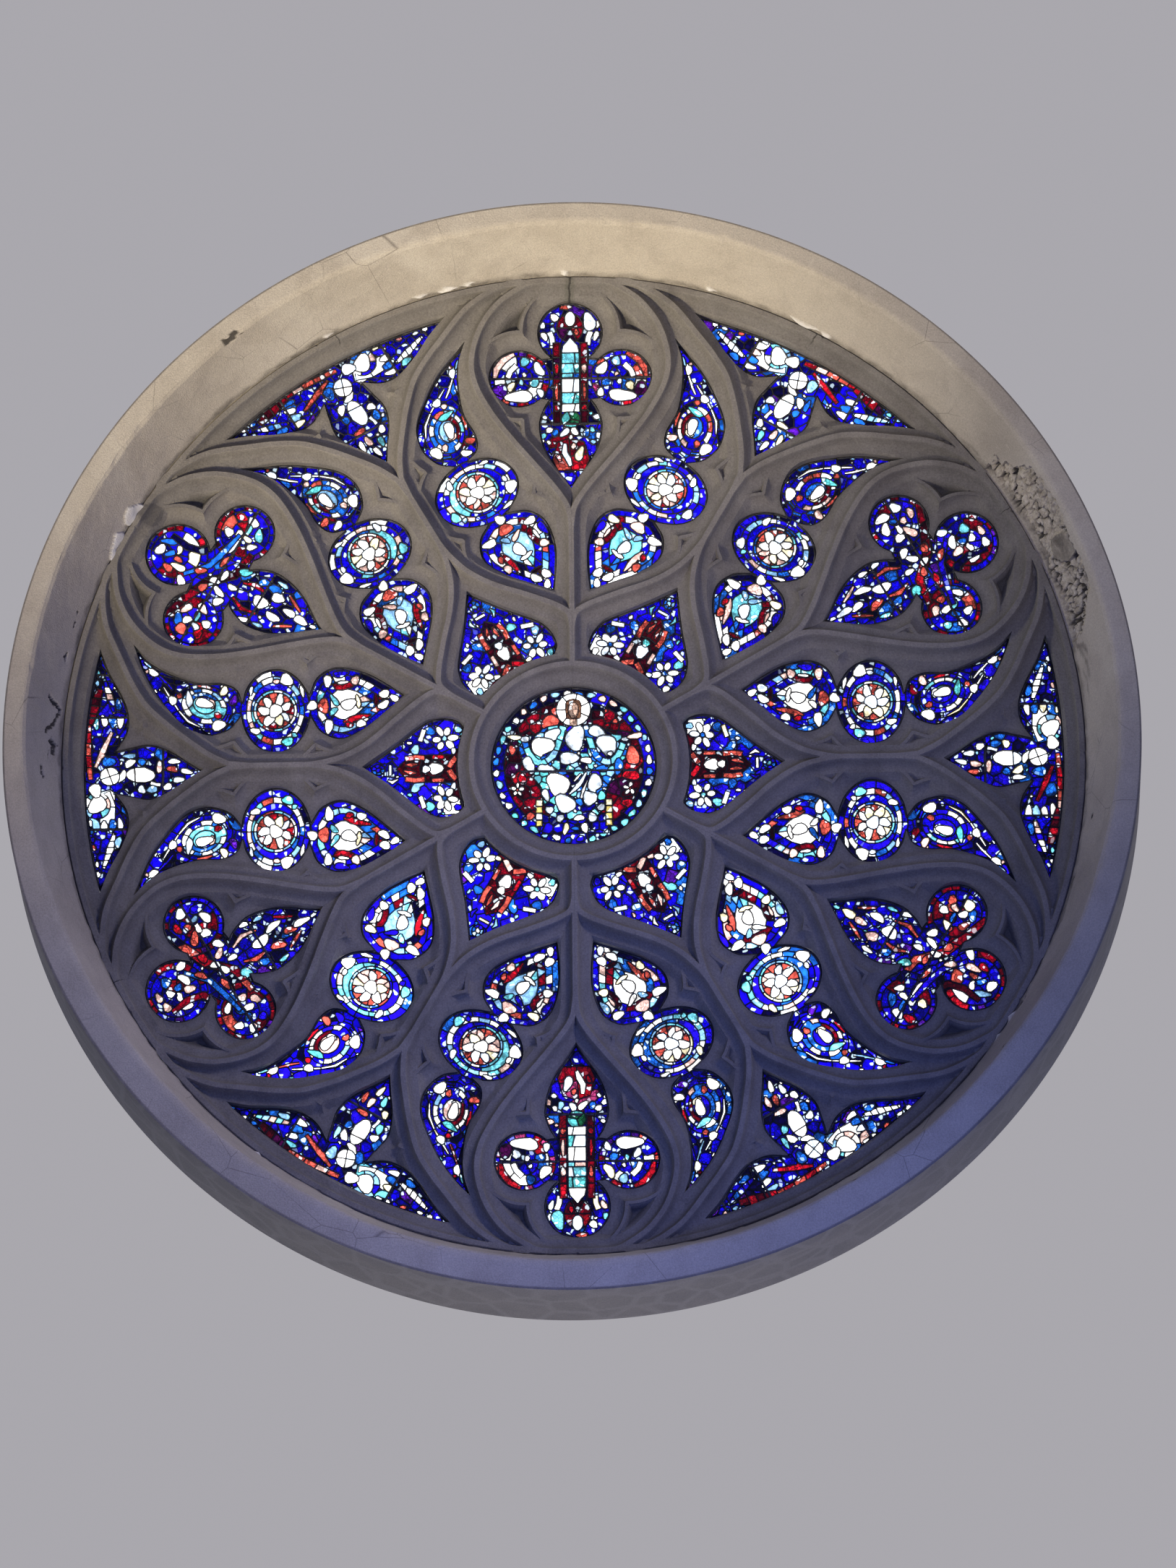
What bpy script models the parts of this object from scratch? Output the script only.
"""A round church window: flowing bar tracery in six jointed stones, inside a splayed plaster reveal,
glazed with thirty-one leaded panels.

The window stands upright. Its round face looks along -Y into the church, its flat back lies in the plane
y = 0, and the centre of the circle is the origin. The plan of the tracery is drawn as a mason sets it out:
on one compass circle, with every length a share of that circle's radius, x out along the axis of a stone
and y across it. The pattern has six axes, and each is its own mirror image.
"""

import math

import bmesh
import bpy
import numpy as np
from mathutils import Vector
from mathutils.geometry import delaunay_2d_cdt

# Driving dimensions, in metres.
SETTING_OUT_RADIUS = 2.35
GLASS_FROM_BACK = 0.110
GLASS_THICKNESS = 0.012
TRACERY_THICKNESS = 0.210
REVEAL_DEPTH = 0.520
FITTING_GAP = 0.0003
JOINT_GAP = 0.0006

# Radii of the plan, as shares of the setting-out circle.
EYE_RADIUS = 0.159
RING_LINE_RADIUS = 0.195
DAYLIGHT_RIM_RADIUS = 0.939
RIM_LINE_RADIUS = 0.9725
TRACERY_RADIUS = 0.980
REVEAL_MOUTH_RADIUS = 1.043
REVEAL_MOUTH_RADIUS_BELOW = 1.023  # the splay stands steeper along the bottom
REVEAL_OUTER_RADIUS = 1.085

# The mouldings: widths as shares of the circle, and heights in metres in front of the glass.
BAND_WIDTH = 0.028
FILLET_HALF_WIDTH = 0.0055
HOLLOW_END = 0.026
SINK_START = 0.045
SUNK_FROM_BAR = 0.036
GLASS_LINE_HEIGHT = 0.014
BAND_HEIGHT = 0.058
FILLET_HEIGHT = TRACERY_THICKNESS - GLASS_FROM_BACK
SUNK_HEIGHT = 0.032

AXES = 6
SECTOR = 2 * math.pi / AXES
RIM_STEPS = 12  # straight runs of the round edges in one stone
EYE_STEPS = 6
LOBE_STEP = 36  # degrees of arc in one straight run of a foil
SINK_GRID = 0.022  # spacing of the points of a sunk field
CLOSEST_POINTS = 0.007  # corners of the plan nearer than this are one
PANEL_MITRE = 8
SPOKE_STATIONS = (0.527, 0.50, 0.36)  # corners of the joint along the spoke, from its fork to the eye's ring
ALMOST = 0.99


# --- The plan: round stretches, free curves, and the outline of each kind of light. ---


def arc(centre, half_axes, start, end, steps):
    """Points on an ellipse between two angles in degrees, ends included."""
    points = []
    for step in range(steps + 1):
        angle = math.radians(start + (end - start) * step / steps)
        points.append((centre[0] + half_axes[0] * math.cos(angle),
                       centre[1] + half_axes[1] * math.sin(angle)))
    return points


def lobe(centre, half_axes, start, end):
    return arc(centre, half_axes, start, end, max(2, round(abs(end - start) / LOBE_STEP)))


def mirrored(half):
    """The closed outline whose upper half starts and ends on the axis."""
    return half + [(x, -y) for x, y in reversed(half[1:-1])]


def petal():
    """The light next to the eye: a concave foot, two round shoulders and a point."""
    side = [(0.405, 0), (0.345, 0.043), (0.298, 0.0815), (0.275, 0.0955),
            (0.248, 0.1005), (0.222, 0.0945), (0.2075, 0.079)]
    foot = arc((0, 0), (0.2222, 0.2222), 12, 0, 2)
    return mirrored(side + foot)


def quatrefoil():
    """On the axis between two stones: three round foils and a long pointed one, towards the eye."""
    outer = lobe((0.8755, 0), (0.063, 0.0635), 0, 142)
    across = lobe((0.784, 0.099), (0.059, 0.0595), -55, 232)
    pointed = [(0.7395, 0.042), (0.722, 0.0525), (0.692, 0.0615), (0.652, 0.0565),
               (0.615, 0.0405), (0.583, 0.018), (0.555, 0)]
    return mirrored(outer + across + pointed)


def rim_trefoil():
    """Against the rim: a pointed leaf on the axis and two leaves that lie along the rim."""
    rim = arc((0, 0), (DAYLIGHT_RIM_RADIUS, DAYLIGHT_RIM_RADIUS), 0, 15.1, 3)
    along = [(0.890, 0.2005), (0.866, 0.155), (0.8525, 0.115), (0.8555, 0.077), (0.876, 0.0435)]
    leaf = [(0.848, 0.0500), (0.812, 0.0560), (0.775, 0.0440), (0.738, 0.0195), (0.708, 0)]
    return mirrored(rim + along + leaf)


def mouchette():
    """Beside the axis: a teardrop, a roundel and a curved tail, open to each other at two necks."""
    roundel, half_axes = (0.5705, 0.1195), (0.067, 0.0855)
    teardrop_foot = [(0.321, 0.146), (0.358, 0.113), (0.403, 0.077), (0.446, 0.0605),
                     (0.483, 0.0745), (0.503, 0.104)]
    tail_foot = [(0.637, 0.108), (0.660, 0.082), (0.702, 0.0705), (0.744, 0.0855),
                 (0.785, 0.131), (0.818, 0.184), (0.843, 0.252)]
    tail_head = [(0.812, 0.2205), (0.770, 0.196), (0.720, 0.1785), (0.674, 0.1775),
                 (0.645, 0.164), (0.6345, 0.138)]
    teardrop_head = [(0.506, 0.152), (0.490, 0.187), (0.455, 0.2055), (0.405, 0.1975), (0.361, 0.1745)]
    return (teardrop_foot + lobe(roundel, half_axes, 196, 350) + tail_foot + tail_head
            + lobe(roundel, half_axes, 20, 154) + teardrop_head)


def turned(points, angle):
    """The points turned about the centre of the circle, by an angle in radians."""
    cos, sin = math.cos(angle), math.sin(angle)
    return [(x * cos - y * sin, x * sin + y * cos) for x, y in points]


def flipped(points):
    """The mirror image across the axis, running the same way round."""
    return [(x, -y) for x, y in reversed(points)]


def eye():
    return arc((0, 0), (EYE_RADIUS, EYE_RADIUS), 0, 360, EYE_STEPS * AXES)[:-1]


# --- The lines that the bars of the tracery follow, for the upper half of one stone. ---


def bar_lines():
    """Each line is the crest of a bar. Those from the spoke are drawn along the spoke, then turned."""
    petal_bar = [(0.235, 0.1357), (0.262, 0.1425), (0.286, 0.131), (0.31, 0.1125), (0.34, 0.087),
                 (0.372, 0.058), (0.405, 0.0335), (0.44, 0.0155), (0.48, 0.004), (0.51, 0)]
    axis_bar = [(0.48, 0), (0.66, 0.004), (0.70, 0.0245), (0.74, 0.0535), (0.78, 0.086), (0.82, 0.126),
                (0.846, 0.17), (0.866, 0.215), (0.8916, 0.2757), (0.9001, 0.321), (0.8997, 0.3636),
                (0.8915, 0.4039)]
    spoke = [(RING_LINE_RADIUS, 0), (0.47, 0), (0.51, -0.0065), (0.545, -0.027), (0.59, -0.063),
             (0.645, -0.109), (0.70, -0.150), (0.755, -0.180), (0.80, -0.190), (0.845, -0.184),
             (0.89, -0.166), (0.928, -0.137), (0.953, -0.104), (0.970, -0.068), (0.9725, 0)]
    upper = [petal_bar, axis_bar, turned(spoke, SECTOR / 2)]
    lower = [[(x, -y) for x, y in line] for line in upper]
    rings = [arc((0, 0), (radius, radius), -31, 31, RIM_STEPS)
             for radius in (RING_LINE_RADIUS, RIM_LINE_RADIUS)]
    return upper + lower + rings


# --- Distances in the plan, and the height of the carved face over it. ---


def runs(line, closed):
    """Start and end points of the straight runs of a line."""
    ends = np.array(line)
    return (ends, np.roll(ends, -1, axis=0)) if closed else (ends[:-1], ends[1:])


def distance(points, lines, closed):
    """How far each point is from the nearest of the lines."""
    points = np.asarray(points, float).reshape(-1, 1, 2)
    nearest = np.full(len(points), np.inf)
    for line in lines:
        start, end = runs(line, closed)
        along = end - start
        share = ((points - start) * along).sum(2) / np.maximum((along * along).sum(1), 1e-12)
        foot = start + np.clip(share, 0, 1)[..., None] * along
        nearest = np.minimum(nearest, np.linalg.norm(points - foot, axis=2).min(1))
    return nearest


def inside(points, loops):
    """Whether each point lies within the first loop and outside the others."""
    points = np.asarray(points, float)
    crossings = np.zeros(len(points), int)
    for loop in loops:
        start, end = runs(loop, closed=True)
        x, y = points[:, 0][:, None], points[:, 1][:, None]
        spans = (start[:, 1] > y) != (end[:, 1] > y)
        rise = np.where(end[:, 1] == start[:, 1], 1, end[:, 1] - start[:, 1])
        meets = start[:, 0] + (y - start[:, 1]) * (end[:, 0] - start[:, 0]) / rise
        crossings += (spans & (x < meets)).sum(1)
    return crossings % 2 == 1


def face_height(to_glass, to_bar):
    """Height of the carved face in front of the glass: a chamfered band round each light, and bars with
    a narrow fillet and hollow sides. Whatever neither reaches is sunk."""
    band = np.interp(to_glass, (0, BAND_WIDTH, BAND_WIDTH + FILLET_HALF_WIDTH, SINK_START),
                     (GLASS_LINE_HEIGHT, BAND_HEIGHT, BAND_HEIGHT, SUNK_HEIGHT))
    bar = np.interp(to_bar, (FILLET_HALF_WIDTH, HOLLOW_END, SINK_START),
                    (FILLET_HEIGHT, BAND_HEIGHT, SUNK_HEIGHT))
    return np.maximum(band, bar)


def offset(line, width, closed, longest_mitre=1.0):
    """Each point of a line moved sideways, to the right of the way the line runs. A corner moves along
    its bisector, by at most longest_mitre times the width."""
    start, end = runs(line, closed)
    along = (end - start) / np.linalg.norm(end - start, axis=1)[:, None]
    right = np.stack([along[:, 1], -along[:, 0]], axis=1)
    if closed:
        before, after = np.roll(right, 1, axis=0), right
    else:
        before, after = np.vstack([right[:1], right]), np.vstack([right, right[-1:]])
    bisector = before + after
    length = np.linalg.norm(bisector, axis=1)
    mitre = np.minimum(2 / length, longest_mitre)
    return np.array(line) + width * (mitre / length)[:, None] * bisector


# --- One stone of the tracery. ---


def stone_outline():
    """One sixth of the tracery, cut through the quatrefoils on either side of it."""
    gap = JOINT_GAP / 2 / SETTING_OUT_RADIUS
    rim = arc((0, 0), (TRACERY_RADIUS, TRACERY_RADIUS), 0, 30, RIM_STEPS // 2)[:-1]
    foils = quatrefoil()
    lower_foils = [foils[0]] + foils[:len(foils) // 2 - 1:-1]
    ring_stations = (RING_LINE_RADIUS + FILLET_HALF_WIDTH, RING_LINE_RADIUS - FILLET_HALF_WIDTH, EYE_RADIUS)
    joint = [(TRACERY_RADIUS, 0), (RIM_LINE_RADIUS, 0)]
    joint += lower_foils
    joint += [(station, 0) for station in SPOKE_STATIONS + ring_stations]
    joint = turned([(x, min(y, -gap)) for x, y in joint], SECTOR / 2)
    around_eye = arc((0, 0), (EYE_RADIUS, EYE_RADIUS), 30, 0, EYE_STEPS // 2)[1:]
    return mirrored(rim + joint + around_eye)


def creases(loops, lights, bars):
    """The lines along which the carved face bends: the outer edge of each light's band, and both edges of
    each bar's fillet. Each is a list of runs of points that lie on the stone, clear of its edges."""
    clear_of_bar = 1.6 * FILLET_HALF_WIDTH
    lines = [(offset(light, BAND_WIDTH, closed=True), BAND_WIDTH, clear_of_bar) for light in lights]
    for bar in bars:
        for side in (-1, 1):
            edge = offset(bar, side * FILLET_HALF_WIDTH, closed=False)
            lines.append((edge, CLOSEST_POINTS, FILLET_HALF_WIDTH))
    found = []
    for line, least_to_glass, least_to_bar in lines:
        on_stone = inside(line, loops) & (distance(line, loops[:1], closed=True) > CLOSEST_POINTS)
        on_stone &= distance(line, lights, closed=True) > ALMOST * least_to_glass
        on_stone &= distance(line, bars, closed=False) > ALMOST * least_to_bar
        run = []
        for point, keep in zip(line, on_stone):
            if keep:
                run.append(tuple(point))
            elif run:
                found.append(run)
                run = []
        found.append(run)
    return [run for run in found if run]


def sunk_points(loops, lights, bars):
    """Points of the small sunk fields, which neither a band nor a bar reaches."""
    across = np.arange(-TRACERY_RADIUS / 2, TRACERY_RADIUS / 2, SINK_GRID)
    along = np.arange(EYE_RADIUS, TRACERY_RADIUS, SINK_GRID)
    grid = np.array([(x, y) for x in along for y in across])
    grid = grid[inside(grid, loops)]
    deep = distance(grid, lights, closed=True) > SINK_START
    deep &= distance(grid, bars, closed=False) > SUNK_FROM_BAR
    return [tuple(point) for point in grid[deep]]


def stone_plan(loops, lights, bars):
    """Corners and triangles of a stone's plan, with its edges, its creases and its sunk fields drawn in."""
    corners, edges = [], []
    for loop in loops:
        first = len(corners)
        corners += loop
        edges += [(first + k, first + (k + 1) % len(loop)) for k in range(len(loop))]
    for run in creases(loops, lights, bars) + [[point] for point in sunk_points(loops, lights, bars)]:
        previous = None
        for point in run:
            gaps = np.linalg.norm(np.array(corners) - point, axis=1)
            here = int(gaps.argmin()) if gaps.min() < CLOSEST_POINTS else len(corners)
            if here == len(corners):
                corners.append(point)
            if previous not in (None, here):
                edges.append((previous, here))
            previous = here
    points, _, triangles, *_ = delaunay_2d_cdt([Vector(corner) for corner in corners], edges, [], 0, 1e-7)
    middles = np.array([[points[k] for k in triangle] for triangle in triangles]).mean(axis=1)
    return points, [triangle for triangle, keep in zip(triangles, inside(middles, loops)) if keep]


def stone_mesh():
    """The plan drawn on the back plane, pulled out towards the front, and carved there."""
    boundary = stone_outline()
    holes = [petal(), mouchette(), flipped(mouchette()), rim_trefoil()]
    lights = holes + [eye()] + [turned(quatrefoil(), side * SECTOR / 2) for side in (-1, 1)]
    bars = bar_lines()
    points, triangles = stone_plan([boundary] + holes, lights, bars)

    carved = bmesh.new()
    corners = [carved.verts.new((x * SETTING_OUT_RADIUS, 0, y * SETTING_OUT_RADIUS)) for x, y in points]
    back = [carved.faces.new([corners[k] for k in triangle]) for triangle in triangles]
    bmesh.ops.delete(carved, geom=[corner for corner in corners if not corner.link_faces], context="VERTS")
    pulled = bmesh.ops.extrude_face_region(carved, geom=back)["geom"]
    front = [corner for corner in pulled if isinstance(corner, bmesh.types.BMVert)]
    places = [(corner.co.x / SETTING_OUT_RADIUS, corner.co.z / SETTING_OUT_RADIUS) for corner in front]
    heights = face_height(distance(places, lights, closed=True), distance(places, bars, closed=False))
    for corner, height in zip(front, heights):
        corner.co.y = -GLASS_FROM_BACK - height
    flat = [edge for edge in carved.edges if all(corner.co.y == 0 for corner in edge.verts)]
    flat_corners = [corner for corner in carved.verts if corner.co.y == 0]
    bmesh.ops.dissolve_limit(carved, angle_limit=math.radians(1), verts=flat_corners, edges=flat)
    return finished(carved, "tracery_stone")


# --- The reveal, and the panels of leaded glass. ---


def mouth_radius(angle):
    """The radius of the reveal's mouth, which narrows from the sides towards the bottom."""
    below = min(max((0.15 - math.sin(angle)) / 0.85, 0), 1)
    share = below * below * (3 - 2 * below)
    return REVEAL_MOUTH_RADIUS + (REVEAL_MOUTH_RADIUS_BELOW - REVEAL_MOUTH_RADIUS) * share


def reveal_mesh():
    """A ring spun from its section: a straight seat for the tracery, a splay, and a flat-cut outside."""
    seat = TRACERY_RADIUS * SETTING_OUT_RADIUS + FITTING_GAP
    mouth = REVEAL_MOUTH_RADIUS * SETTING_OUT_RADIUS
    outside = REVEAL_OUTER_RADIUS * SETTING_OUT_RADIUS
    section = [(seat, 0), (seat, -TRACERY_THICKNESS), (mouth, -REVEAL_DEPTH),
               (outside, -REVEAL_DEPTH), (outside, 0)]
    ring = bmesh.new()
    corners = [ring.verts.new((radius, y, 0)) for radius, y in section]
    sides = zip(corners, corners[1:] + corners[:1])
    edges = [ring.edges.new(side) for side in sides]
    bmesh.ops.spin(ring, geom=edges, axis=(0, 1, 0), cent=(0, 0, 0), angle=2 * math.pi,
                   steps=RIM_STEPS * AXES, use_merge=True, use_duplicate=False)
    on_mouth = [corner for corner in ring.verts if corner.co.y < -TRACERY_THICKNESS - FITTING_GAP
                and math.hypot(corner.co.x, corner.co.z) < (mouth + outside) / 2]
    for corner in on_mouth:
        narrowing = mouth_radius(math.atan2(corner.co.z, corner.co.x)) / REVEAL_MOUTH_RADIUS
        corner.co.x *= narrowing
        corner.co.z *= narrowing
    return finished(ring, "splayed_reveal")


def panel_mesh(name, outline):
    """A flat leaded panel, set in its light with a small gap all round."""
    gap = FITTING_GAP / SETTING_OUT_RADIUS
    fitted = offset(outline, -gap, closed=True, longest_mitre=PANEL_MITRE) * SETTING_OUT_RADIUS
    panel = bmesh.new()
    back = -GLASS_FROM_BACK + GLASS_THICKNESS / 2
    face = panel.faces.new([panel.verts.new((x, back, y)) for x, y in fitted])
    pulled = bmesh.ops.extrude_face_region(panel, geom=[face])["geom"]
    front = [corner for corner in pulled if isinstance(corner, bmesh.types.BMVert)]
    bmesh.ops.translate(panel, verts=front, vec=(0, -GLASS_THICKNESS, 0))
    return finished(panel, name)


def finished(shape, name):
    bmesh.ops.recalc_face_normals(shape, faces=shape.faces)
    mesh = bpy.data.meshes.new(name)
    shape.to_mesh(mesh)
    shape.free()
    mesh.shade_smooth()
    mesh.set_sharp_from_angle(angle=math.radians(30))
    return mesh


# --- Materials and the assembled window. ---


def material(name, colour, roughness, metallic=0.0, transmission=0.0):
    made = bpy.data.materials.new(name)
    made.use_nodes = True
    shader = made.node_tree.nodes["Principled BSDF"]
    shader.inputs["Base Color"].default_value = (*colour, 1)
    shader.inputs["Roughness"].default_value = roughness
    shader.inputs["Metallic"].default_value = metallic
    shader.inputs["Transmission Weight"].default_value = transmission
    return made


def place(name, mesh, finish, window, angle=0.0):
    """One sub-part, turned about the centre of the circle and fixed in the window."""
    part = bpy.data.objects.new(name, mesh)
    if not mesh.materials:
        mesh.materials.append(finish)
    part.rotation_euler = (0, -angle, 0)
    part.parent = window
    bpy.context.scene.collection.objects.link(part)


def build():
    for thing in list(bpy.data.objects):
        bpy.data.objects.remove(thing)
    window = bpy.data.objects.new("rose_window", None)
    bpy.context.scene.collection.objects.link(window)

    stone = material("warm_grey_stone", (0.24, 0.22, 0.19), 0.85)
    plaster = material("cream_plaster", (0.55, 0.49, 0.38), 0.9)
    glass = material("blue_leaded_glass", (0.04, 0.10, 0.55), 0.15, transmission=0.6)

    carved = stone_mesh()
    panels = {
        "petal_glass": (panel_mesh("petal_glass", petal()), 0.0),
        "rim_trefoil_glass": (panel_mesh("rim_trefoil_glass", rim_trefoil()), 0.0),
        "mouchette_glass_left": (panel_mesh("mouchette_glass_left", mouchette()), 0.0),
        "mouchette_glass_right": (panel_mesh("mouchette_glass_right", flipped(mouchette())), 0.0),
        "quatrefoil_glass": (panel_mesh("quatrefoil_glass", quatrefoil()), SECTOR / 2),
    }
    place("splayed_reveal", reveal_mesh(), plaster, window)
    place("eye_glass", panel_mesh("eye_glass", eye()), glass, window)
    for axis in range(AXES):
        place(f"tracery_stone_{axis + 1}", carved, stone, window, axis * SECTOR)
        for name, (mesh, lead) in panels.items():
            place(f"{name}_{axis + 1}", mesh, glass, window, axis * SECTOR + lead)


build()
